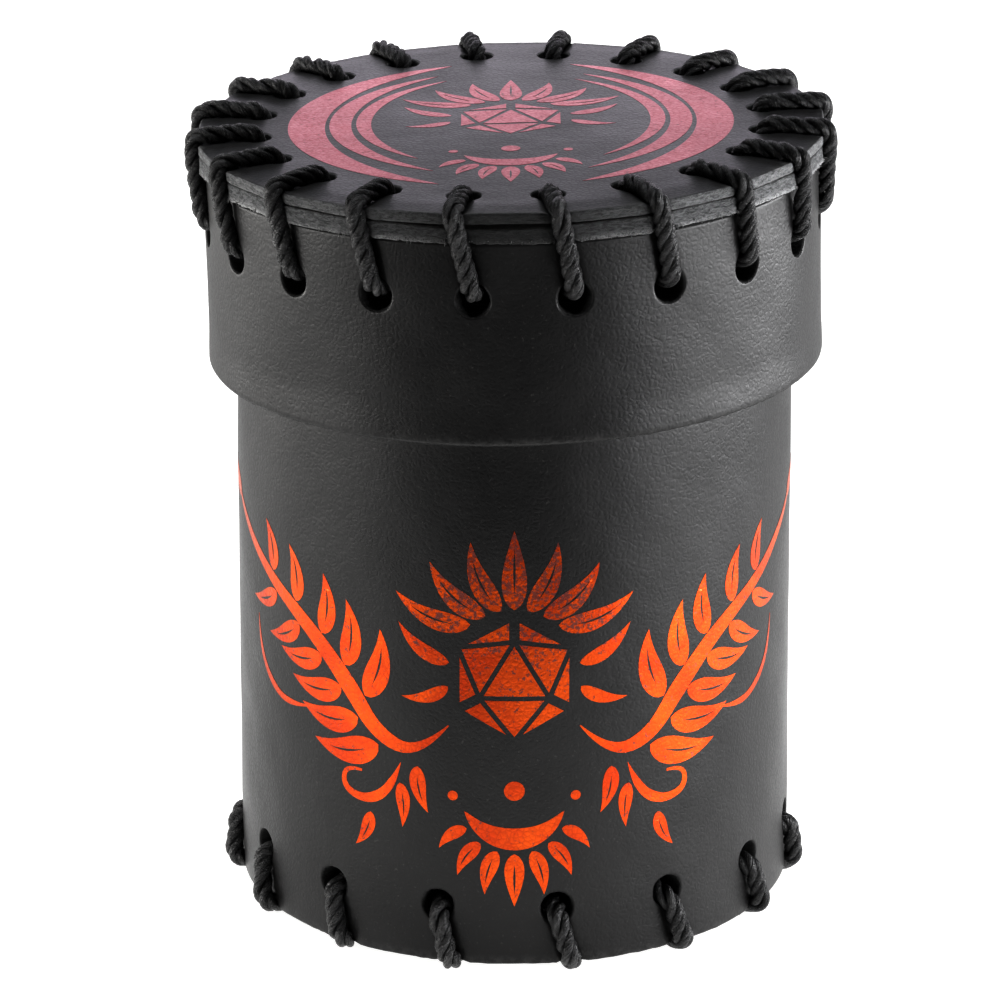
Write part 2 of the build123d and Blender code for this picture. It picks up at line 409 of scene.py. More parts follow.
def columns(first, count, half, inside, outside, extra=()):
    """Angles of the grid's columns: fine across each hole's patch, coarser between the patches."""
    step = 360 / count
    angles, patches = [], []
    for k in range(count):
        middle = first + k * step
        start = len(angles)
        patch = [middle - half + 2 * half * n / inside for n in range(inside)]
        gap_start, gap_end = middle + half, middle + step - half
        gap = [gap_start + (gap_end - gap_start) * n / outside for n in range(outside)]
        angles += patch
        patches.append((start, start + inside))
        added = sorted(a for a in extra if gap_start < (a - first) % 360 + first < gap_end)
        if added:
            gap = sorted(gap + added)
            gap = [g for n, g in enumerate(gap) if n == 0 or g - gap[n - 1] > 0.05]
        angles += gap
    return angles, patches


def rows_between(stops):
    """Places across the sheet: (place, number of steps to the next) pairs, and the last place."""
    values = []
    for (start, steps), (end, _) in zip(stops, stops[1:]):
        values += [start + (end - start) * n / steps for n in range(steps)]
    return values + [stops[-1][0]]


def press(points, normals, line, radius, reach):
    """Moves leather in, along its normal, where a lace presses on it."""
    tree = kdtree.KDTree(len(line))
    for k, p in enumerate(line):
        tree.insert(p, k)
    tree.balance()
    low, high = line.min(axis=0) - radius - reach, line.max(axis=0) + radius + reach
    for n in np.where(((points > low) & (points < high)).all(axis=1))[0]:
        depth = radius - tree.find(points[n])[2]
        if depth > -reach:
            push = (depth + reach) ** 2 / (4 * reach) if depth < reach else depth
            points[n] -= normals[n] * push
    return points


def fray(points, normals, amount, size, height):
    """Roughens a raw edge, by an amount from 0 to 1 at each point."""
    for n in np.where(amount > 0.02)[0]:
        x, y, z = points[n] / size
        points[n] += normals[n] * height * amount[n] * noise.noise(Vector((x, y, z * 0.6)))
    return points


def waves(u, v):
    """The slight unevenness of rolled leather, in millimetres."""
    a = np.radians(u)
    swells = [(0.055, 3, 0.051, 0.4), (0.05, 5, -0.083, 2.1), (0.04, 8, 0.13, 0.0)]
    swells += [(0.03, 13, -0.21, 1.0), (0.02, 21, 0.37, 0.5)]
    return sum(height * np.sin(count * a + twist * v + start) for height, count, twist, start in swells)


def seam_relief(u, v, w, seam, lap, rows, radius, leather):
    """How far a lapped seam draws a wall's faces in: shallow stitching channels and the laps' ends."""
    outside = smooth(0.6 * leather, 0.4 * leather, w)
    sign = outside * 2 - 1
    turn = swing(u, seam)
    along_rows = smooth(rows[0] - 1.5, rows[0], v) * smooth(rows[1] + 1.5, rows[1], v)
    depth = 0
    for side in (-1, 1):
        off = np.radians(turn - side * THREAD_ROW_ANGLE) * radius
        depth = depth + 0.22 * np.exp(-((off / 0.55) ** 2)) * along_rows
    off = np.radians(turn + sign * lap) * radius
    return sign * (depth + 0.55 * np.exp(-((off / 0.16) ** 2)))


def lid_wall_place(u, v, w):
    """The lid's wall: a straight tube whose lower edge is eased outwards a little."""
    flare = 0.22 * smooth(6.0, 0.0, v - LID_FOOT_Z)
    relief = seam_relief(u, v, w, LID_SEAM_ANGLE, LID_LAP_HALF, LID_ROW, LID_RADIUS, LID_LEATHER)
    return polar(LID_RADIUS + waves(u, v) + flare - w - relief, u, v)


def cup_wall_place(u, v, w):
    relief = seam_relief(u, v, w, CUP_SEAM_ANGLE, CUP_LAP_HALF, CUP_ROW, CUP_RIM_RADIUS, CUP_LEATHER)
    evener = 1 - 0.6 * smooth(LID_FOOT_Z - 4, LID_FOOT_Z + 4, v)
    return polar(cup_radius(v) + waves(u + 40, v) * 0.9 * evener - w - relief, u, v)


def lid_disc_radius(u, v):
    """Between two stitches the disc's edge runs almost straight."""
    step = 360 / LID_STITCHES
    first = LID_FIRST_HOLE - LACE_SLANT
    off = (u - first) % step - step / 2
    straight = math.cos(math.radians(step / 2)) / np.cos(np.radians(off))
    share = smooth(0.75 * LID_DISC_RADIUS, LID_DISC_RADIUS, v)
    return v * (1 + (0.8 * straight + 0.2 - 1) * share)


def edge_droop(v):
    """How far the disc's edge bends down under the pull of its lace."""
    return 0.22 * smooth(41, LID_DISC_RADIUS, v)


def lid_top_place(u, v, w):
    """The disc's outer layer, gently swollen. Its edge lifts a little off the liner at the front."""
    turn = swing(u, SLIT_ANGLE)
    lift = 0.18 * np.exp(-(turn / 13) ** 2) * smooth(38, LID_DISC_RADIUS, v)
    swell = 0.10 * np.sin(np.radians(2 * u + 40)) * smooth(0, 40, v)
    swell = swell + 0.05 * np.sin(v / 5.5 + np.radians(u))
    return polar(lid_disc_radius(u, v), u, LID_TOP_Z + swell * 0.6 - edge_droop(v) + lift - w)


def lid_liner_place(u, v, w):
    """The liner under it. A dark slit opens between the two at the front of the edge."""
    turn = swing(u, SLIT_ANGLE)
    gap = 0.42 * np.exp(-(turn / 11) ** 2) + 0.10 * np.exp(-((turn - 95) / 20) ** 2) + 0.05
    upper = 1 - w / LINER_LEATHER
    open_edge = gap * smooth(40.5, LID_DISC_RADIUS - 0.6, v) * upper
    uneven = 0.16 * np.sin(np.radians(u * 7)) + 0.10 * np.sin(np.radians(u * 17 + 50))
    spread = (uneven + 0.05 - 0.12 * upper) * smooth(42, LID_DISC_RADIUS, v)
    return polar(lid_disc_radius(u, v) + spread, u, LID_FACE_Z - edge_droop(v) - open_edge - w)


def cup_base_place(u, v, w):
    """The base disc, its underside as the outer face."""
    return polar(v, u, CUP_FOOT_Z + 0.06 * np.sin(v / 6 + np.radians(2 * u)) + w)


# Lacing -------------------------------------------------------------------------------------------
def between(start, end, steps):
    """Points that divide a run, without its ends."""
    return [start + (end - start) * n / steps for n in range(1, steps)]


def lid_stitch(k):
    """Control points of a lid stitch, from under the disc, over its edge, to the inside of the wall."""
    wall = LID_FIRST_HOLE + k * 360 / LID_STITCHES
    disc = wall - LACE_SLANT
    offset, over_z = LID_DISC_HOLE_OFFSET - LACE_LEAN, LID_TOP_Z + LACE_RIDE
    hole_z = LID_WALL_HOLE_Z + LACE_PULL
    under = polar(offset, disc, LID_WALL_TOP_Z - LID_LACE_RADIUS)
    mouth = polar(offset - 0.1, disc, LID_TOP_Z - 1.0)
    top = polar(offset + 0.9, disc, over_z + 0.25)
    corner = polar(LID_DISC_RADIUS + LACE_RIDE, disc, over_z)
    outside = polar(LID_RADIUS + LACE_RIDE, wall, hole_z)
    inside = polar(LID_RADIUS - LID_LEATHER - LID_LACE_RADIUS, wall, hole_z)
    after = polar(offset, disc + 360 / LID_STITCHES, LID_WALL_TOP_Z - LID_LACE_RADIUS)
    over, down = between(top, corner, 3), between(corner, outside, 3)
    return [under, mouth, top, *over, corner, *down, outside, inside], between(inside, after, 3)


def base_stitch(k):
    """Control points of a base stitch, from inside the wall, under its edge, to above the disc."""
    wall = BASE_FIRST_HOLE + k * 360 / BASE_STITCHES
    disc = wall + LACE_SLANT
    offset, under_z = BASE_DISC_HOLE_OFFSET + LACE_PULL, CUP_FOOT_Z + LACE_RIDE
    hole_z = BASE_WALL_HOLE_Z - LACE_PULL
    above_z = BASE_TOP_Z + BASE_LACE_RADIUS + BASE_LACE_SLACK
    inner_radius = cup_radius(hole_z) - CUP_LEATHER - BASE_LACE_RADIUS
    inside = polar(inner_radius, wall, hole_z)
    outside = polar(cup_radius(hole_z) + LACE_RIDE, wall, hole_z)
    corner = polar(CUP_FOOT_RADIUS + LACE_RIDE + 0.9, disc, under_z - 0.2)
    under = polar(offset, disc, under_z)
    above = polar(offset, disc, above_z)
    after = polar(inner_radius, wall + 360 / BASE_STITCHES, hole_z)
    down, across = between(outside, corner, 2), between(corner, under, 2)
    return [inside, outside, *down, corner, *across, under, above], between(above, after, 3)


def knot_axis(stitch, last, shift):
    """The middle of the knot, and the way it points."""
    start, end = stitch(last)[0][-1], stitch(last + 1)[0][0]
    middle = (start + end) / 2
    inwards = unit(-middle * np.array([1, 1, 0]))
    return middle + inwards * shift[0] + np.array([0, 0, shift[1]]), unit(end - start)


def curve_mesh(kind, runs, curve_settings, spline_settings):
    """The mesh that a curve with these runs of points turns into."""
    curve = bpy.data.curves.new("route", "CURVE")
    for key, value in curve_settings.items():
        setattr(curve, key, value)
    for run in runs:
        spline = curve.splines.new(kind)
        spline.points.add(len(run) - 1)
        for target, place in zip(spline.points, run):
            target.co = (*place, 1)
        for key, value in spline_settings.items():
            setattr(spline, key, value)
    holder = linked("route", curve)
    mesh = bpy.data.meshes.new_from_object(holder)
    bpy.data.objects.remove(holder)
    bpy.data.curves.remove(curve)
    return mesh


def spline_line(points, steps):
    """Points along a smooth curve with these control points."""
    settings = {"order_u": 3, "use_endpoint_u": True, "resolution_u": steps}
    mesh = curve_mesh("NURBS", [points], {"dimensions": "3D"}, settings)
    line = np.array([v.co for v in mesh.vertices], float)
    bpy.data.meshes.remove(mesh)
    return line


def lace_line(stitch, count, last, shift, steps):
    """A lace's centreline, from inside its knot, once round the cup, and into the knot again."""
    middle, along = knot_axis(stitch, last, shift)
    points = [middle + along * 0.5]
    for k in range(last + 1, last + 1 + count):
        corners, inner_run = stitch(k)
        sway = [p + np.array([random.uniform(-0.12, 0.12) for _ in range(3)]) for p in corners[2:-2]]
        points += [*corners[:2], *sway, *corners[-2:]]
        if k < last + count:
            points += inner_run
    points.append(middle - along * 0.5)
    return spline_line(points, steps)


def distances(line):
    """How far along the line each of its points lies."""
    return np.concatenate([[0], np.cumsum(np.linalg.norm(np.diff(line, axis=0), axis=1))])


def twisted(line, core, radius, pitch, plies, sides, wide, flat):
    """A twisted cord: plies of round yarn that wind round each other, drawn wide and flat on the leather.

    core gives the point inside the leather that each point of the cord faces away from.
    """
    along = direction(line)
    outward = square_to(along, line - core)
    sideways = np.cross(along, outward)
    s = distances(line)
    ply_radius = radius * PLY_SHARE[plies]
    lay = radius - ply_radius
    parts = []
    for ply in range(plies):
        wander = np.array([noise.noise(Vector((x * 0.21, ply * 7.3, 1.5))) for x in s])
        size = np.array([noise.noise(Vector((x * 0.4, ply * 3.1, 9.5))) for x in s])
        turn = 2 * math.pi * (s / pitch + ply / plies) + wander * 0.8
        spoke = np.cos(turn)[:, None] * outward * flat + np.sin(turn)[:, None] * sideways * wide
        yarn = line + spoke * lay * (1 + 0.10 * wander)[:, None]
        around = np.tile(np.arange(sides) * 2 * math.pi / sides, len(line))
        far = np.repeat(s, sides)
        winding = around - far * 2 * math.pi / (pitch * 0.55)
        fibre = np.stack([np.cos(winding), np.sin(winding), far * 0.32 + ply * 11.0], axis=-1)
        fibre = np.vstack([fibre, fibre[:1], fibre[-1:]])
        parts.append((*tube(yarn, ply_radius * (1 + 0.16 * size), sides, spoke), fibre))
    return joined(parts)


def core_circle(line, radius, z):
    """For each point, the point at the same angle on a circle inside the leather's corner."""
    return np.column_stack([unit(line[:, :2]) * radius, np.full(len(line), z)])


def knot_lines(stitch, last, shift):
    """A lace's two ends wound round each other, and their two short tails."""
    middle, along = knot_axis(stitch, last, shift)
    up = np.array([0.0, 0.0, 1.0])
    side = unit(np.cross(along, up))
    rise = np.cross(side, along)
    lines = []
    for sign in (1, -1):
        points = [middle - along * sign * 2.4]
        for n in range(10):
            turn = sign * (0.6 + n * 0.75)
            reach = 1.15 + 0.35 * math.sin(n)
            here = -1.9 + n * 0.42
            spoke = side * math.cos(turn) + rise * math.sin(turn)
            points.append(middle + along * sign * here + spoke * reach)
        tip = points[-1]
        away = -middle * np.array([1, 1, 0]) / np.linalg.norm(middle[:2])
        points += [tip + along * sign * 1.2 + away * 1.4, tip + along * sign * 2.2 + away * 3.6 - up * 0.6]
        lines.append(spline_line(points, 8))
    return lines, middle


def seam_stitches(seam, side, radius_at, leather, ends):
    """Centrelines of one row's stitches, on the outside and the inside of a wall."""
    spaces = round((ends[1] - ends[0]) / THREAD_PITCH)
    heights = np.linspace(ends[0], ends[1], spaces + 1)
    angle = seam + side * THREAD_ROW_ANGLE
    t = np.linspace(0, 1, 12)
    bow = np.minimum(1, np.minimum(t, 1 - t) / 0.13)
    lines = []
    for low, high in zip(heights, heights[1:]):
        z = low + 0.12 + (high - low - 0.24) * t
        lean = (t - 0.5) * 0.42
        rise = (THREAD_END_DEPTH - THREAD_DEPTH) * np.sqrt(bow)
        lines.append(polar(radius_at(z) - THREAD_END_DEPTH + rise, angle + lean, z))
        lines.append(polar(radius_at(z) - leather + THREAD_END_DEPTH - rise, angle - lean, z))
    return lines


# Artwork ------------------------------------------------------------------------------------------
def left_of(way):
    """The direction square to this one, on its left."""
    return np.stack([-way[..., 1], way[..., 0]], axis=-1)


def bend_line(start, end, bow, count):
    """Points of a curved line from start to end that bows to its left by this much."""
    start, end = np.array(start, float), np.array(end, float)
    t = np.linspace(0, 1, count)[:, None]
    across = left_of(unit(end - start))
    return start + (end - start) * t + across * bow * 4 * t * (1 - t)


def ribbon(line, widths):
    """The outline of a band of changing width along a line."""
    line = np.asarray(line, float)
    across = left_of(direction(line))
    half = np.asarray(widths, float)[:, None] / 2
    return np.vstack([line + across * half, (line - across * half)[::-1]])


def leaf(start, end, width, bow, vein=0.32):
    """A pointed leaf with an open vein down its middle."""
    t = np.linspace(0, 1, 26)
    body = np.sin(math.pi * t ** 0.72) ** 0.85 * (1 - 0.35 * t)
    line = bend_line(start, end, bow, len(t))
    outlines = [ribbon(line, np.maximum(body / body.max() * width, 0.02))]
    if vein:
        inner = (t > 0.16) & (t < 0.80)
        taper = np.sin(math.pi * np.linspace(0, 1, inner.sum()))
        outlines.append(ribbon(line[inner], np.maximum(taper * vein, 0.02)))
    return outlines


def scroll(points, widths, count=60):
    """A band along a smooth curve through given control points, tapering as the widths say."""
    points = [np.array([*p, 0.0]) for p in points]
    line = spline_line(points, 10)[:, :2]
    s = distances(np.column_stack([line, np.zeros(len(line))]))
    even = np.linspace(0, s[-1], count)
    line = np.column_stack([np.interp(even, s, line[:, k]) for k in range(2)])
    stations = np.linspace(0, 1, len(widths))
    return [ribbon(line, np.maximum(np.interp(np.linspace(0, 1, count), stations, widths), 0.02))]


def circle(centre, radius, count=28):
    a = np.linspace(0, 2 * math.pi, count, endpoint=False)
    return [np.column_stack([centre[0] + radius * np.cos(a), centre[1] + radius * np.sin(a)])]


def inset(polygon, gap):
    """A triangle drawn in from its sides by half of the gap."""
    polygon = np.array(polygon, float)
    middle = polygon.mean(axis=0)
    sides = np.linalg.norm(polygon - np.roll(polygon, 1, axis=0), axis=1)
    (x0, y0), (x1, y1), (x2, y2) = polygon
    area = abs((x1 - x0) * (y2 - y0) - (x2 - x0) * (y1 - y0)) / 2
    inner_radius = 2 * area / sides.sum()
    return middle + (polygon - middle) * (1 - gap / 2 / inner_radius)


def die(centre, radius, gap):
    """A twenty-sided die seen square on to one face: its ten visible faces, parted by thin lines."""
    def at(r, degrees):
        turn = math.radians(degrees)
        return np.array(centre) + r * np.array([math.cos(turn), math.sin(turn)])

    rim = [at(radius, 30 + 60 * k) for k in range(6)]
    face = [at(radius * 0.62, 90 + 120 * k) for k in range(3)]
    faces = [face]
    for k in range(3):
        top, left, right = rim[(1 + 2 * k) % 6], rim[(2 + 2 * k) % 6], rim[(2 * k) % 6]
        apex, following = face[k], face[(k + 1) % 3]
        faces += [[top, left, apex], [top, right, apex], [left, apex, following]]
    return [[inset(f, gap)] for f in faces]


def crescent(centre, outer, thick, start, end, count=60):
    """A crescent between two angles, in degrees, thickest halfway."""
    a = np.radians(np.linspace(start, end, count))
    width = thick * np.sin(np.linspace(0, math.pi, count)) ** 0.75
    middle = outer - width / 2
    line = np.column_stack([centre[0] + middle * np.cos(a), centre[1] + middle * np.sin(a)])
    return [ribbon(line, np.maximum(width, 0.02))]


def mirrored(shapes):
    """The shapes and their mirror images across the middle line."""
    return shapes + [[outline * np.array([-1, 1]) for outline in shape] for shape in shapes]


def centre_motif(y):
    """A die between a spray of leaves above it and a crescent with a fan of leaves below."""
    shapes = die((0, y), 9.4, 0.75)
    shapes.append(leaf((0, y + 10.6), (0, y + 22.5), 3.6, 0.0))
    half = [
        leaf((1.9, y + 10.4), (6.2, y + 20.6), 3.3, -1.1),
        leaf((4.1, y + 9.6), (12.2, y + 17.2), 3.3, -1.3),
        leaf((6.3, y + 8.2), (17.4, y + 12.2), 3.1, -1.4),
        leaf((9.4, y + 2.2), (17.0, y + 7.6), 2.3, -1.0, 0),
        leaf((9.6, y - 1.4), (16.6, y - 3.6), 2.0, -0.9, 0),
    ]
    low = y - 21.5
    shapes.append(crescent((0, low + 2.6), 7.4, 3.4, 192, 348))
    shapes.append(circle((0, low + 4.4), 1.5))
    shapes.append(leaf((0, low - 5.4), (0, low - 13.6), 2.9, 0.0))
    half += [
        leaf((2.5, low - 5.0), (4.3, low - 11.8), 2.5, 0.5, 0.26),
        leaf((4.9, low - 3.8), (8.3, low - 9.0), 2.3, 0.6, 0.24),
        leaf((6.9, low - 1.6), (11.0, low - 5.0), 1.9, 0.6, 0),
        circle((8.9, low + 3.4), 0.75),
    ]
    return shapes + mirrored(half)


def stem_point(points, share):
    """A place on a smooth stem, and the way it runs there."""
    line = spline_line([np.array([*p, 0.0]) for p in points], 12)[:, :2]
    k = min(int(share * (len(line) - 1)), len(line) - 2)
    return line[k], unit(line[k + 1] - line[k])


def branch(points, widths, leaves, first, length, width, spread):
    """A stem with pairs of leaves that grow smaller towards its tip, after one leaf at its first bend."""
    shapes = [scroll(points, widths)]
    for n in range(leaves):
        share = first + (0.97 - first) * n / leaves
        size = 1 - 0.42 * n / leaves
        foot, along = stem_point(points, share)
        across = left_of(along)
        for hand in (1, -1) if n else (-1,):
            turn = math.radians(spread + 5 * math.sin(2.1 * n + hand))
            way = along * math.cos(turn) + across * math.sin(turn) * hand
            start = foot + across * hand * 1.7 * size + along * (1.1 if hand > 0 else -1.1)
            shapes.append(leaf(start, start + way * length * size, width * size, hand * 1.3 * size, 0.34))
    foot, along = stem_point(points, 0.985)
    shapes.append(leaf(foot + along * 0.9, foot + along * (length * 0.75), width * 0.62, 0.0, 0.28))
    return shapes


def cup_artwork():
    """The cup's ornament, x along the wall and y up it: a laurel branch that rises to each side."""
    rising = [
        (9.5, 38.0), (14.0, 33.0), (20.5, 35.0), (25.5, 42.0), (33.0, 49.0), (44.0, 54.5), (59.0, 64.0)
    ]
    hanging = [(16.8, 31.4), (18.4, 27.0), (22.4, 24.4), (26.6, 25.6), (26.2, 29.2), (23.2, 29.0)]
    tendril = [(33.0, 36.4), (38.0, 35.2), (43.0, 37.4), (46.5, 42.0), (46.8, 46.6)]
    half = branch(rising, [0.2, 2.2, 3.0, 2.6, 2.0, 1.4, 0.6], 6, 0.30, 11.8, 4.3, 50)
    half += [
        scroll(hanging, [0.1, 1.2, 1.6, 1.2, 0.8, 0.4]),
        scroll(tendril, [0.2, 1.0, 1.1, 0.8, 0.1]),
        leaf((14.2, 31.2), (12.6, 24.2), 2.5, 0.6, 0.24),
        leaf((17.0, 28.2), (16.6, 21.4), 2.2, -0.4, 0.22),
        leaf((21.8, 22.8), (24.4, 17.2), 2.2, -0.6, 0.22),
    ]
    return centre_motif(45.4) + mirrored(half)


def lid_artwork():
    """The lid's ornament, seen from above with the front at the bottom: nested crescents round a die."""
    half = [
        crescent((0, 0), 32.4, 5.4, -72, 74),
        crescent((-1.2, 0.6), 27.6, 3.2, -64, 64),
        crescent((-1.8, 1.2), 24.3, 2.2, -52, 62),
    ]
    motif = [[outline * 0.92 for outline in shape] for shape in centre_motif(2.0)]
    return motif + mirrored(half)


def filled(shapes, spacing):
    """Flat faces that fill the shapes, cut small enough to follow a curved surface."""
    mesh = bmesh.new()
    for shape in shapes:
        outlines = [[(x, y, 0) for x, y in outline] for outline in shape]
        flat = {"dimensions": "2D", "fill_mode": "BOTH"}
        part = curve_mesh("POLY", outlines, flat, {"use_cyclic_u": True})
        mesh.from_mesh(part)
        bpy.data.meshes.remove(part)
    for axis in ((1, 0, 0), (0, 1, 0)):
        places = [Vector(axis).dot(v.co) for v in mesh.verts]
        count = int((max(places) - min(places)) / spacing)
        for n in range(1, count + 1):
            cut = Vector(axis) * (min(places) + n * spacing)
            everything = [*mesh.verts, *mesh.edges, *mesh.faces]
            bmesh.ops.bisect_plane(mesh, geom=everything, plane_co=cut, plane_no=axis, dist=1e-5)
    bmesh.ops.remove_doubles(mesh, verts=mesh.verts, dist=1e-5)
    bmesh.ops.triangulate(mesh, faces=mesh.faces)
    bmesh.ops.dissolve_degenerate(mesh, edges=mesh.edges, dist=1e-4)
    mesh.verts.index_update()
    flat = np.array([v.co[:2] for v in mesh.verts], float)
    faces = [[v.index for v in f.verts] for f in mesh.faces]
    mesh.free()
    return flat, faces


def foil(name, shapes, surface, body, material):
    """Hot-stamped foil: the shapes as a thin closed skin that lies on the leather."""
    flat, faces = filled(shapes, 1.3)
    count = len(flat)
    points = np.vstack([surface(flat, -FOIL_DEPTH), surface(flat, FOIL_DEPTH)])
    skin = [list(f) for f in faces] + [[n + count for n in reversed(f)] for f in faces]
    edges = dict.fromkeys((a, b) for f in faces for a, b in zip(f, f[1:] + f[:1]))
    skin += [[b, a, a + count, b + count] for a, b in edges if (b, a) not in edges]
    piece = make_piece(name, points, skin, body, [material])
    mesh = bmesh.new()
    mesh.from_mesh(piece.data)
    bmesh.ops.recalc_face_normals(mesh, faces=mesh.faces)
    for edge in mesh.edges:
        edge.smooth = len(edge.link_faces) == 2 and edge.calc_face_angle() < 0.7
    mesh.to_mesh(piece.data)
    mesh.free()


def on_cup(flat, w):
    u = np.degrees(flat[:, 0] / cup_radius(flat[:, 1]))
    return cup_wall_place(u, flat[:, 1], w)


def on_lid(flat, w):
    u = np.degrees(np.arctan2(flat[:, 0], -flat[:, 1]))
    return lid_top_place(u, np.hypot(flat[:, 0], flat[:, 1]), w)


# Materials ----------------------------------------------------------------------------------------
class Nodes:
    """Short forms for building a material's node tree."""

    def __init__(self, name):
        self.material = bpy.data.materials.new(name)
        self.material.use_nodes = True
        self.tree = self.material.node_tree
        self.shader = self.tree.nodes["Principled BSDF"]
        self.space = self.add("ShaderNodeTexCoord").outputs["Object"]

    def add(self, kind, **settings):
        node = self.tree.nodes.new(kind)
        for key, value in settings.items():
            setattr(node, key, value)
        return node

    def feed(self, socket, value):
        if isinstance(value, bpy.types.NodeSocket):
            self.tree.links.new(value, socket)
        else:
            socket.default_value = value

    def axis(self, letter):
        place = self.add("ShaderNodeSeparateXYZ")
        self.feed(place.inputs[0], self.space)
        return place.outputs[letter]

    def attribute(self, name, output="Fac"):
        return self.add("ShaderNodeAttribute", attribute_name=name).outputs[output]

    def vector_math(self, operation, one, other=(0, 0, 0), output="Vector"):
        node = self.add("ShaderNodeVectorMath", operation=operation)
        self.feed(node.inputs[0], one)
        self.feed(node.inputs[1], other)
        return node.outputs[output]

    def texture(self, kind, output, vector, inputs, **settings):
        node = self.add(kind, **settings)
        self.feed(node.inputs["Vector"], vector or self.space)
        for key, value in inputs.items():
            node.inputs[key].default_value = value
        return node.outputs[output]

    def noise(self, scale, detail=3.0, rough=0.55, distortion=0.0, vector=None, output="Fac"):
        inputs = {"Scale": scale, "Detail": detail, "Roughness": rough, "Distortion": distortion}
        return self.texture("ShaderNodeTexNoise", output, vector, inputs)

    def cell_edges(self, scale, vector):
        settings = {"feature": "DISTANCE_TO_EDGE"}
        return self.texture("ShaderNodeTexVoronoi", "Distance", vector, {"Scale": scale}, **settings)

    def ramp(self, value, low, high, start=0.0, end=1.0):
        node = self.add("ShaderNodeMapRange", interpolation_type="SMOOTHSTEP")
        keys = ("Value", "From Min", "From Max", "To Min", "To Max")
        for key, source in zip(keys, (value, low, high, start, end)):
            self.feed(node.inputs[key], source)
        return node.outputs["Result"]

    def math(self, operation, one, other=0.0):
        node = self.add("ShaderNodeMath", operation=operation)
        self.feed(node.inputs[0], one)
        self.feed(node.inputs[1], other)
        return node.outputs[0]

    def mix(self, factor, one, other):
        node = self.add("ShaderNodeMix", data_type="RGBA")
        self.feed(node.inputs["Factor"], factor)
        self.feed(node.inputs[6], (*one, 1) if isinstance(one, tuple) else one)
        self.feed(node.inputs[7], (*other, 1) if isinstance(other, tuple) else other)
        return node.outputs[2]

    def bump(self, height, distance, strength=1.0, below=None):
        node = self.add("ShaderNodeBump")
        self.feed(node.inputs["Height"], height)
        node.inputs["Distance"].default_value = distance
        node.inputs["Strength"].default_value = strength
        if below:
            self.feed(node.inputs["Normal"], below)
        return node.outputs["Normal"]

    def finish(self, colour, roughness, normal, **constants):
        self.feed(self.shader.inputs["Base Color"], colour)
        self.feed(self.shader.inputs["Roughness"], roughness)
        self.feed(self.shader.inputs["Normal"], normal)
        for key, value in constants.items():
            self.shader.inputs[key.replace("_", " ")].default_value = value
        return self.material


def leather_grain(n):
    """Fine pebbles between creases, over soft wrinkles: the bump of a smooth rolled hide."""
    bend = n.vector_math("MULTIPLY", n.noise(700, 2.0, 0.5, output="Color"), (0.0005, 0.0005, 0.0005))
    bent = n.vector_math("ADD", n.space, bend)
    pebbles = n.cell_edges(1250, bent)
    large = n.cell_edges(560, bent)
    swells = n.noise(95, 4, 0.5)
    grain = n.bump(n.ramp(pebbles, 0.0, 0.35), 0.000018, 0.7)
    grain = n.bump(n.ramp(large, 0.0, 0.16), 0.000012, 0.5, grain)
    return n.bump(swells, 0.00038, 0.5, grain), pebbles


def black_leather(name):
    """Dyed and polished hide, its wear greyer where the grain stands proud and at the edges."""
    n = Nodes(name)
    normal, pebbles = leather_grain(n)
    patches = n.noise(38, 5, 0.6)
    specks = n.ramp(n.noise(2100, 2, 0.6), 0.62, 0.80)
    edge = n.attribute("wear_and_shade")
    colour = n.mix(n.ramp(patches, 0.35, 0.70), (0.0055, 0.0053, 0.0054), (0.0100, 0.0098, 0.0098))
    colour = n.mix(n.math("MULTIPLY", specks, 0.35), colour, (0.075, 0.072, 0.069))
    rubbing_and_shade = n.math("MULTIPLY", edge, n.ramp(n.noise(900, 4, 0.7), 0.40, 0.62))
    colour = n.mix(rubbing_and_shade, colour, (0.060, 0.059, 0.058))
    creases = n.ramp(pebbles, 0.0, 0.12, 0.06, 0.0)
    rough = n.math("ADD", n.ramp(patches, 0.3, 0.75, 0.36, 0.46), creases)
    rough = n.math("ADD", rough, n.math("MULTIPLY", rubbing_and_shade, 0.22))
    return n.finish(colour, rough, normal, Specular_IOR_Level=0.26)


def flesh_side(name):
    """The undyed-looking matt inside of the hide: short nap and loose fibres."""
    n = Nodes(name)
    nap = n.noise(1500, 5, 0.7, 0.6)
    clouds = n.noise(60, 4, 0.6)
    colour = n.mix(n.ramp(clouds, 0.3, 0.7), (0.026, 0.024, 0.023), (0.052, 0.048, 0.045))
    colour = n.mix(n.ramp(nap, 0.52, 0.75), colour, (0.088, 0.082, 0.076))
    normal = n.bump(nap, 0.00035, 0.9, n.bump(clouds, 0.0012, 0.4))
    rough = n.ramp(nap, 0.3, 0.7, 0.92, 0.80)
    return n.finish(colour, rough, normal, Specular_IOR_Level=0.3, Sheen_Weight=0.15)


def raw_edge(name):
    """A cut edge: layers of grey fibre, paler and looser where it frays."""
    n = Nodes(name)
    layers = n.noise(900, 5, 0.75, 0.8, n.vector_math("MULTIPLY", n.space, (1.0, 1.0, 3.2)))
    fluff = n.noise(3200, 4, 0.8)
    pale = n.attribute("frayed")
    colour = n.mix(n.ramp(layers, 0.34, 0.66), (0.040, 0.041, 0.042), (0.185, 0.187, 0.190))
    colour = n.mix(n.math("MULTIPLY", pale, n.ramp(fluff, 0.36, 0.60)), colour, (0.60, 0.60, 0.60))
    # This darkens the edge towards black: real dye, and on the lid's edges also painted shade at the front.
    colour = n.mix(n.attribute("dye_and_shade"), colour, (0.009, 0.009, 0.009))
    normal = n.bump(layers, 0.00050, 0.9, n.bump(fluff, 0.00016, 0.8))
    rough = n.ramp(layers, 0.3, 0.7, 0.88, 0.70)
    return n.finish(colour, rough, normal, Specular_IOR_Level=0.35)


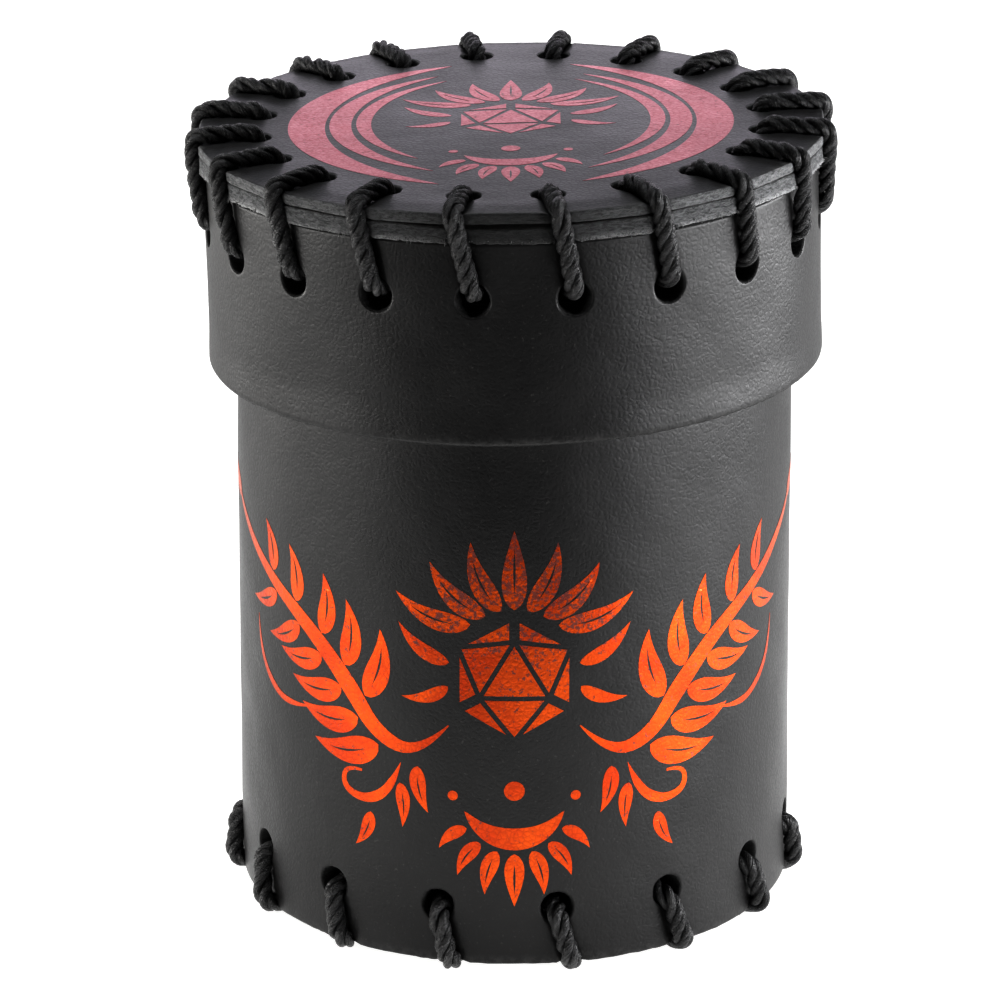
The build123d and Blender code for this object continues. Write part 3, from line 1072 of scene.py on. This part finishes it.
def waxed_cord(name):
    """Black waxed cord: fine fibres that run along each ply, with beads of wax that catch the light."""
    n = Nodes(name)
    fibre = n.attribute("fibre", "Vector")
    strands = n.noise(3.6, 3, 0.6, 0.2, n.vector_math("MULTIPLY", fibre, (0.72, 0.72, 0.42)))
    fine = n.noise(8.0, 3, 0.7, 0.2, n.vector_math("MULTIPLY", fibre, (0.8, 0.8, 0.3)))
    wax = n.noise(800, 4, 0.65)
    flecks = n.ramp(n.noise(2600, 2, 0.5), 0.66, 0.80)
    colour = n.mix(n.ramp(strands, 0.38, 0.70), (0.0190, 0.0190, 0.0194), (0.0640, 0.0635, 0.0645))
    colour = n.mix(n.math("MULTIPLY", flecks, 0.35), colour, (0.12, 0.118, 0.115))
    beads = n.ramp(wax, 0.50, 0.62)
    rough = n.math("SUBTRACT", n.ramp(strands, 0.35, 0.70, 0.40, 0.28), n.math("MULTIPLY", beads, 0.12))
    normal = n.bump(strands, 0.00075, 1.0, n.bump(fine, 0.00030, 1.0, n.bump(wax, 0.0005, 0.5)))
    return n.finish(colour, rough, normal, Specular_IOR_Level=0.45)


def sewing_thread(name):
    """Bonded black thread with a tight twist."""
    n = Nodes(name)
    fibre = n.attribute("fibre", "Vector")
    strands = n.noise(4.0, 3, 0.6, 0.2, n.vector_math("MULTIPLY", fibre, (1.8, 1.8, 1.2)))
    wear = n.noise(700, 3, 0.6)
    colour = n.mix(n.ramp(strands, 0.35, 0.68), (0.011, 0.011, 0.012), (0.045, 0.044, 0.046))
    rough = n.ramp(wear, 0.35, 0.70, 0.42, 0.62)
    return n.finish(colour, rough, n.bump(strands, 0.00016, 0.9), Specular_IOR_Level=0.5)


def stamped_foil(name, bright, deep, shadow, rubbing_and_shade, film):
    """Metallic foil pressed into the grain. It wears off in specks, and more specks are painted in the
    middle, higher up, as painted shade for the dark surroundings that the metal reflects there.

    The rubbing value says how strongly that painted shade darkens the middle, and film is the weight of the
    clear film over it.
    """
    n = Nodes(name)
    normal, pebbles = leather_grain(n)
    drift = n.noise(70, 4, 0.6, 0.8)
    grain = n.noise(1300, 4, 0.7)
    colour = n.mix(n.ramp(drift, 0.34, 0.66), deep, bright)
    # Painted shade: the foil is darkened a little towards the shadow colour in the grain's creases.
    creased = n.ramp(pebbles, 0.02, 0.16, 1.0, 0.0)
    colour = n.mix(n.math("MULTIPLY", creased, 0.14), colour, shadow)
    # Painted shade: a band in the middle, higher up, where the foil is given more dark specks.
    middle = n.ramp(n.math("ABSOLUTE", n.axis("X")), 0.008, 0.022, 1.0, 0.0)
    front_shade = n.math("MULTIPLY", n.ramp(n.axis("Z"), 0.038, 0.060, 0.0, 0.15), middle)
    # The specks mix real wear, from the grain noise, with that painted shade.
    wear_and_shade = n.ramp(n.math("ADD", grain, n.math("MULTIPLY", front_shade, rubbing_and_shade)), 0.60, 0.68)
    colour = n.mix(n.math("MULTIPLY", wear_and_shade, 0.85), colour, shadow)
    rough = n.math("ADD", n.ramp(grain, 0.3, 0.7, 0.30, 0.42), n.math("MULTIPLY", creased, 0.06))
    n.feed(n.shader.inputs["Metallic"], n.ramp(wear_and_shade, 0.0, 1.0, 0.85, 0.2))
    return n.finish(colour, rough, normal, Specular_IOR_Level=0.5, Coat_Weight=film, Coat_Roughness=0.35)


LEATHER = black_leather("Black leather")
FLESH = flesh_side("Flesh side of the leather")
EDGE = raw_edge("Raw leather edge")
CORD = waxed_cord("Waxed cord")
THREAD = sewing_thread("Sewing thread")
# The rubbing value sets how strongly painted shade darkens the middle of each foil.
CUP_FOIL = stamped_foil(
    "Copper orange foil", (0.41, 0.062, 0.002), (0.32, 0.034, 0.001), (0.05, 0.002, 0.001),
    rubbing_and_shade=1.0, film=0.10
)
# The same copper foil as the cup's, given a paler, pinker colour: painted sheen for the glancing light on the
# lid's top.
LID_FOIL_PAINTED_SHEEN = stamped_foil(
    "Copper foil with painted sheen", (0.325, 0.070, 0.086), (0.280, 0.052, 0.066), (0.08, 0.010, 0.012),
    rubbing_and_shade=0.1, film=0.0
)


# Pieces -------------------------------------------------------------------------------------------
CLEAR_OF_DISC_HOLE, CLEAR_OF_WALL_HOLE = 1.5, 1.6
PRESS_REACH = 0.8
FRAY_SIZE, FRAY_HEIGHT = 0.45, 0.30
TUFTS_TRIED = 1500
KNOT_CORD_RADIUS, KNOT_CORD_PITCH = 1.25, 6.0


def outer_run(lace, from_axis, low, high):
    """The stretches of a lace that lie on the outside of the leather, clear of its holes."""
    outside = np.hypot(lace[:, 0], lace[:, 1]) > from_axis + CLEAR_OF_DISC_HOLE
    return lace[outside & (lace[:, 2] > low + CLEAR_OF_WALL_HOLE) & (lace[:, 2] < high - CLEAR_OF_WALL_HOLE)]


lid_lace = lace_line(lid_stitch, LID_STITCHES, LID_LAST_STITCH, LID_KNOT_SHIFT, 10)
base_lace = lace_line(base_stitch, BASE_STITCHES, BASE_LAST_STITCH, BASE_KNOT_SHIFT, 11)
PRESSERS = {
    "lid": (outer_run(lid_lace, LID_DISC_HOLE_OFFSET, LID_WALL_HOLE_Z, math.inf), LID_LACE_RADIUS),
    "cup": (outer_run(base_lace, BASE_DISC_HOLE_OFFSET, -math.inf, BASE_WALL_HOLE_Z), BASE_LACE_RADIUS),
}


def laced_sheet(closed, ring, half, hole_at, rows, thickness, place, scale, corner, lip, gaps=8, extra=()):
    """A sheet with a ring of lacing holes: a wall if it is closed at both edges, a disc if not.

    ring gives the number of holes and the angle of the first. The grid is finer round each hole, for
    half degrees to either side, and has as many columns between two holes as gaps says.
    """
    count, first = ring
    us, patches = columns(first, count, half, 12, gaps, extra)
    vs = rows_between(rows)
    sheet = Leather(us, vs, thickness, corner, place, scale)
    sheet.build_grid(closed)
    patch = WALL_PATCH if closed else DISC_PATCH
    r0, r1 = [int(np.argmin(np.abs(np.array(vs) - (hole_at + side * patch)))) for side in (-1, 1)]
    sheet.fill_grid([(i0, i1, r0, r1) for i0, i1 in patches])
    for k, (i0, i1) in enumerate(patches):
        sheet.punch(i0, i1, r0, r1, first + k * 360 / count, hole_at, HOLE_RADIUS, lip)
    if not closed:
        sheet.close_middle(3)
    return sheet


def leather_piece(name, sheet, body, node, dye_and_shade_at, face=LEATHER, frayed=None, wear=(1, 1), outward=True):
    """A finished sheet: pressed by its lacing, with worn edges, a flesh side and raw cut edges."""
    u, v, w, points = sheet.points()
    faces = np.array(sheet.faces)
    if not outward:
        faces = faces[:, ::-1]
    normals = point_normals(points, faces)
    points = press(points, normals, *PRESSERS[body], PRESS_REACH)
    depth = w / sheet.thickness
    near_edge = smooth(1.2, 0.0, sheet.vs[-1] - v) * wear[1]
    if sheet.closed:
        near_edge = np.maximum(near_edge, smooth(1.2, 0.0, v - sheet.vs[0]) * wear[0])
    cut = (depth > 0.02) & (depth < 0.98)
    loose = frayed(u, v, depth) if frayed else 0.10 * cut
    points = fray(points, normals, np.clip(loose + 0.22 * cut, 0, 1.5), FRAY_SIZE, FRAY_HEIGHT)
    wear_and_shade = near_edge * smooth(0.25, 0.0, depth)
    face_depth = depth[faces].mean(axis=1)
    face_kind = np.where(face_depth > 0.995, 1, np.where(face_depth < 0.03, 0, 2)).tolist()
    layers = {"wear_and_shade": wear_and_shade, "frayed": loose, "dye_and_shade": dye_and_shade_at(u, v, depth)}
    make_piece(name, points, faces.tolist(), body, [face, FLESH, EDGE], [node], layers, face_kind)


def seam_columns(seam, lap):
    """Extra angles for the stitching channels and the ends of a lap."""
    rows = [seam + side * THREAD_ROW_ANGLE + n * 0.42 for side in (-1, 1) for n in range(-3, 4)]
    laps = [seam + side * lap + n for side in (-1, 1) for n in (-0.45, -0.22, 0.0, 0.22, 0.45)]
    return rows + laps


def ragged_foot(u, v, depth):
    """The liner's lower corner frays, more in some places round the edge than in others."""
    rim = smooth(LID_DISC_RADIUS - 2.2, LID_DISC_RADIUS - 0.3, v)
    tufts = 0.6 + 0.4 * np.sin(np.radians(u * 3.0 + 20)) * np.sin(np.radians(u * 7.0))
    return rim * smooth(0.55, 1.0, depth) * tufts


def wall_dye(u, v, depth):
    """Dyed nearly through, a little less deeper in the cut."""
    return 0.96 + 0.03 * smooth(0.35, 0.05, depth)


def base_dye(u, v, depth):
    return np.full_like(u, 0.5)


def lid_edge_front_shade(u, v, depth):
    """Less grey shows at the front of the lid's edge than at its sides: painted shade, darker at the front
    where the side lamps reach least.
    """
    return 0.88 * np.exp(-((swing(u, 0) / 30) ** 2)) + 0.04


lid_rows = [
    (LID_FOOT_Z + 0.5, 3),
    (LID_FOOT_Z + 2.0, 18),
    (LID_WALL_HOLE_Z - WALL_PATCH, 8),
    (LID_WALL_HOLE_Z + WALL_PATCH, 6),
    (LID_WALL_TOP_Z - 1.2, 2),
    (LID_WALL_TOP_Z - 0.75, 0),
]
lid_wall = laced_sheet(
    True, (LID_STITCHES, LID_FIRST_HOLE), LID_PATCH_ANGLE, LID_WALL_HOLE_Z, lid_rows, LID_LEATHER,
    lid_wall_place, LID_RADIUS, THICK_CORNER, THICK_LIP, extra=seam_columns(LID_SEAM_ANGLE, LID_LAP_HALF)
)
leather_piece("lid_wall_leather", lid_wall, "lid", "lid_wall", wall_dye, wear=(0.25, 0))

cup_rows = [
    (CUP_FOOT_Z + 0.5, 4),
    (BASE_WALL_HOLE_Z - WALL_PATCH, 8),
    (BASE_WALL_HOLE_Z + WALL_PATCH, 58),
    (CUP_RIM_Z - 3.0, 4),
    (CUP_RIM_Z - 0.5, 0),
]
cup_wall = laced_sheet(
    True, (BASE_STITCHES, BASE_FIRST_HOLE), CUP_PATCH_ANGLE, BASE_WALL_HOLE_Z, cup_rows, CUP_LEATHER,
    cup_wall_place, CUP_FOOT_RADIUS, THICK_CORNER, THICK_LIP, extra=seam_columns(CUP_SEAM_ANGLE, CUP_LAP_HALF)
)
leather_piece("cup_wall_leather", cup_wall, "cup", "cup_wall", wall_dye, wear=(0.3, 0.6))

lid_ring = (LID_STITCHES, LID_FIRST_HOLE - LACE_SLANT)
lid_half = math.degrees(DISC_PATCH_WIDTH / LID_DISC_HOLE_OFFSET)
top_rows = [
    (33.0, 2),
    (LID_DISC_HOLE_OFFSET - DISC_PATCH, 8),
    (LID_DISC_HOLE_OFFSET + DISC_PATCH, 7),
    (LID_DISC_RADIUS - 1.0, 2),
    (LID_DISC_RADIUS - 0.3, 0),
]
lid_top = laced_sheet(
    False, lid_ring, lid_half, LID_DISC_HOLE_OFFSET, top_rows, LID_TOP_Z - LID_FACE_Z, lid_top_place,
    LID_DISC_HOLE_OFFSET, THIN_CORNER, THIN_LIP
)
leather_piece("lid_top_leather", lid_top, "lid", "lid_top_outer", lid_edge_front_shade,
              outward=False)

lid_liner = laced_sheet(
    False, lid_ring, lid_half, LID_DISC_HOLE_OFFSET, top_rows, LINER_LEATHER, lid_liner_place,
    LID_DISC_HOLE_OFFSET, THIN_CORNER, THIN_LIP, gaps=12
)
leather_piece("lid_liner_leather", lid_liner, "lid", "lid_top_liner", lid_edge_front_shade, FLESH,
              ragged_foot, outward=False)


def loose_fibres():
    """Tufts that stand out of the liner's cut edge, along its lower corner."""
    tufts = []
    for _ in range(TUFTS_TRIED):
        turn = random.uniform(-180, 180)
        bunch = noise.noise(Vector((turn * 0.11, 3.1, 0))) + 0.9 * noise.noise(Vector((turn * 0.7, 9.1, 0)))
        if bunch < random.uniform(-0.35, 0.25):
            continue
        height = LID_WALL_TOP_Z + 0.05 + abs(random.gauss(0, 0.22))
        root = lid_liner_place(turn, LID_DISC_RADIUS - 0.15, 2.2)
        root[2] = height
        outward = polar(1.0, turn + random.uniform(-50, 50), 0.0)
        way = outward * random.uniform(0.1, 0.8) + np.array([0, 0, random.uniform(-1.0, 0.15)])
        length = random.uniform(0.25, 0.85) * (0.7 + 0.5 * max(bunch, 0))
        curl = np.array([random.uniform(-0.12, 0.12) for _ in range(3)])
        line = [root + way * length * t + curl * t * t for t in (0.0, 0.35, 0.7, 1.0)]
        radii = np.array([0.10, 0.085, 0.055, 0.02]) * random.uniform(0.7, 1.3)
        points, faces = tube(line, radii, 4)
        # The tufts are painted darker at the front of the lid too: painted shade.
        tufts.append((points, faces, np.full(len(points), 0.1 + 0.6 * lid_edge_front_shade(turn, 0, 0))))
    points, faces, dye_and_shade = joined(tufts)
    layers = {"frayed": np.full(len(points), 0.55), "dye_and_shade": dye_and_shade}
    make_piece("lid_liner_fibres", points, faces, "lid", [EDGE], (), layers)


loose_fibres()

base_half = math.degrees(DISC_PATCH_WIDTH / BASE_DISC_HOLE_OFFSET)
base_rows = [
    (27.0, 2),
    (BASE_DISC_HOLE_OFFSET - DISC_PATCH, 8),
    (BASE_DISC_HOLE_OFFSET + DISC_PATCH, 4),
    (BASE_RADIUS - 0.5, 0),
]
cup_base = laced_sheet(
    False, (BASE_STITCHES, BASE_FIRST_HOLE + LACE_SLANT), base_half, BASE_DISC_HOLE_OFFSET, base_rows,
    BASE_TOP_Z - CUP_FOOT_Z, cup_base_place, BASE_DISC_HOLE_OFFSET, THICK_CORNER, THICK_LIP
)
leather_piece("cup_base_leather", cup_base, "cup", "cup_base", base_dye)


def cord_piece(name, lines, core_of, radius, pitch, plies, sides, material, body, node, drawn=(1, 1)):
    """Twisted cord or thread in one piece. core_of gives the points that each length faces away from."""
    lengths = [twisted(line, core_of(line), radius, pitch, plies, sides, *drawn) for line in lines]
    points, faces, fibres = joined(lengths)
    make_piece(name, points, faces, body, [material], [node], {"fibre": fibres})


for name, line, core, radius, pitch, body, node in (
    ("lid_lacing", lid_lace, (42.0, LID_WALL_TOP_Z - 2.5), LID_LACE_RADIUS, 8.6, "lid", "lid_lace"),
    ("base_lacing", base_lace, (38.0, 5.0), BASE_LACE_RADIUS, 9.2, "cup", "base_lace"),
):
    cord_piece(name, [line], lambda line: core_circle(line, *core), radius * 0.95, pitch, 4, 10, CORD,
               body, node, DRAWN_FLAT)

for name, stitch, last, shift, body, node in (
    ("lid_lacing_knot", lid_stitch, LID_LAST_STITCH, LID_KNOT_SHIFT, "lid", "lid_lace_knot"),
    ("base_lacing_knot", base_stitch, BASE_LAST_STITCH, BASE_KNOT_SHIFT, "cup", "base_lace_knot"),
):
    lines, middle = knot_lines(stitch, last, shift)
    heart = middle + np.array([0.2, 0.3, 9.0])
    cord_piece(name, lines, lambda line: np.broadcast_to(heart, line.shape), KNOT_CORD_RADIUS,
               KNOT_CORD_PITCH, 3, 10, CORD, body, node)


def seam_row(body, word, side, seam, radius_at, leather, ends):
    lines = seam_stitches(seam, side, radius_at, leather, ends)
    cord_piece(body + "_seam_" + word, lines,
               lambda line: core_circle(line, radius_at(line[:, 2]).mean() - leather / 2, line[:, 2]),
               THREAD_RADIUS, 1.9, 2, 8, THREAD, body, body + "_seam_thread_" + word)


def lid_radius(z):
    return LID_RADIUS + 0 * z


for word, side in (("left", 1), ("right", -1)):
    seam_row("cup", word, side, CUP_SEAM_ANGLE, cup_radius, CUP_LEATHER, CUP_ROW)
    seam_row("lid", word, side, LID_SEAM_ANGLE, lid_radius, LID_LEATHER, LID_ROW)

foil("cup_foil", cup_artwork(), on_cup, "cup", CUP_FOIL)
foil("lid_foil", lid_artwork(), on_lid, "lid", LID_FOIL_PAINTED_SHEEN)


# Stage, light and camera --------------------------------------------------------------------------
def stage_floor():
    """A pale light table, which keeps the shadow faint.

    It looks evenly lit, but it lights the cup most from just in front and from close round the foot.
    """
    n = Nodes("Pale studio sheet")
    colour = n.mix(n.noise(3, 3), (0.34, 0.34, 0.338), (0.36, 0.36, 0.358))
    depth = n.axis("Y")
    n.shader.inputs["Emission Color"].default_value = (1, 1, 0.99, 1)
    glow = n.ramp(depth, -0.20, -0.11, 0.03, 2.6)
    glow = n.math("SUBTRACT", glow, n.ramp(depth, -0.065, -0.052, 0.0, 1.75))
    ring = n.ramp(n.vector_math("LENGTH", n.space, output="Value"), 0.12, 0.24, 0.9, 0.0)
    ring = n.math("MULTIPLY", ring, n.ramp(depth, -0.10, -0.04, 0.0, 1.0))
    glow = n.math("ADD", glow, ring)
    seen = n.add("ShaderNodeLightPath").outputs["Is Camera Ray"]
    glow = n.math("MULTIPLY", glow, n.math("SUBTRACT", 1.0, seen))
    shown = n.math("MULTIPLY", seen, 0.95)
    n.feed(n.shader.inputs["Emission Strength"], n.math("ADD", glow, shown))
    rough = n.ramp(n.noise(400, 3), 0.3, 0.7, 0.55, 0.65)
    mesh = bpy.data.meshes.new("studio_sheet")
    half = 6.0
    corners = [(-half, -half, 0), (half, -half, 0), (half, half, 0), (-half, half, 0)]
    mesh.from_pydata(corners, [], [(0, 1, 2, 3)])
    mesh.materials.append(n.finish(colour, rough, n.bump(n.noise(900, 2), 0.00002)))
    linked("studio_sheet", mesh)


def aim(thing, place, target):
    thing.location = place
    thing.rotation_euler = (Vector(target) - Vector(place)).to_track_quat("-Z", "Y").to_euler()


def soft_light(name, place, target, size, watts, tint):
    lamp = bpy.data.lights.new(name, "AREA")
    lamp.shape = "RECTANGLE"
    lamp.size, lamp.size_y = size
    lamp.energy = watts
    lamp.color = tint
    holder = linked(name, lamp)
    aim(holder, place, target)
    holder.visible_camera = False


stage_floor()
soft_light("left_window", (-0.56, -0.02, 0.056), (0, 0, 0.056), (1.00, 0.112), 6.3, (1.0, 0.985, 0.965))
soft_light("right_window", (0.60, -0.11, 0.056), (0, 0, 0.056), (0.95, 0.112), 12.8, (0.985, 0.985, 1.0))
soft_light("overhead", (0, 0.35, 1.05), (0, 0.1, 0.08), (0.9, 0.7), 12.0, (0.97, 0.98, 1.0))
soft_light("back_panel", (0, 1.50, 0.75), (0, 0, 0.10), (1.6, 0.5), 2.6, (0.90, 0.89, 1.0))
soft_light("back_strip", (0, 0.130, 0.143), (0, 0.03, 0.118), (0.26, 0.03), 0.08, (0.96, 0.90, 1.0))

world = bpy.data.worlds.new("Studio")
world.use_nodes = True
world.node_tree.nodes["Background"].inputs["Color"].default_value = (0.98, 0.99, 1.0, 1)
world.node_tree.nodes["Background"].inputs["Strength"].default_value = 0.085
bpy.context.scene.world = world
bpy.context.scene.view_settings.view_transform = "Standard"
bpy.context.scene.view_settings.gamma = 0.72

lens = bpy.data.cameras.new("photo_camera")
lens.lens = 170.4
lens.sensor_width = 36.0
lens.shift_x = -0.0144
lens.shift_y = 0.0028
camera = linked("photo_camera", lens)
aim(camera, (0, -0.6671, 0.29465), (0, 0, 0.0575))
bpy.context.scene.camera = camera
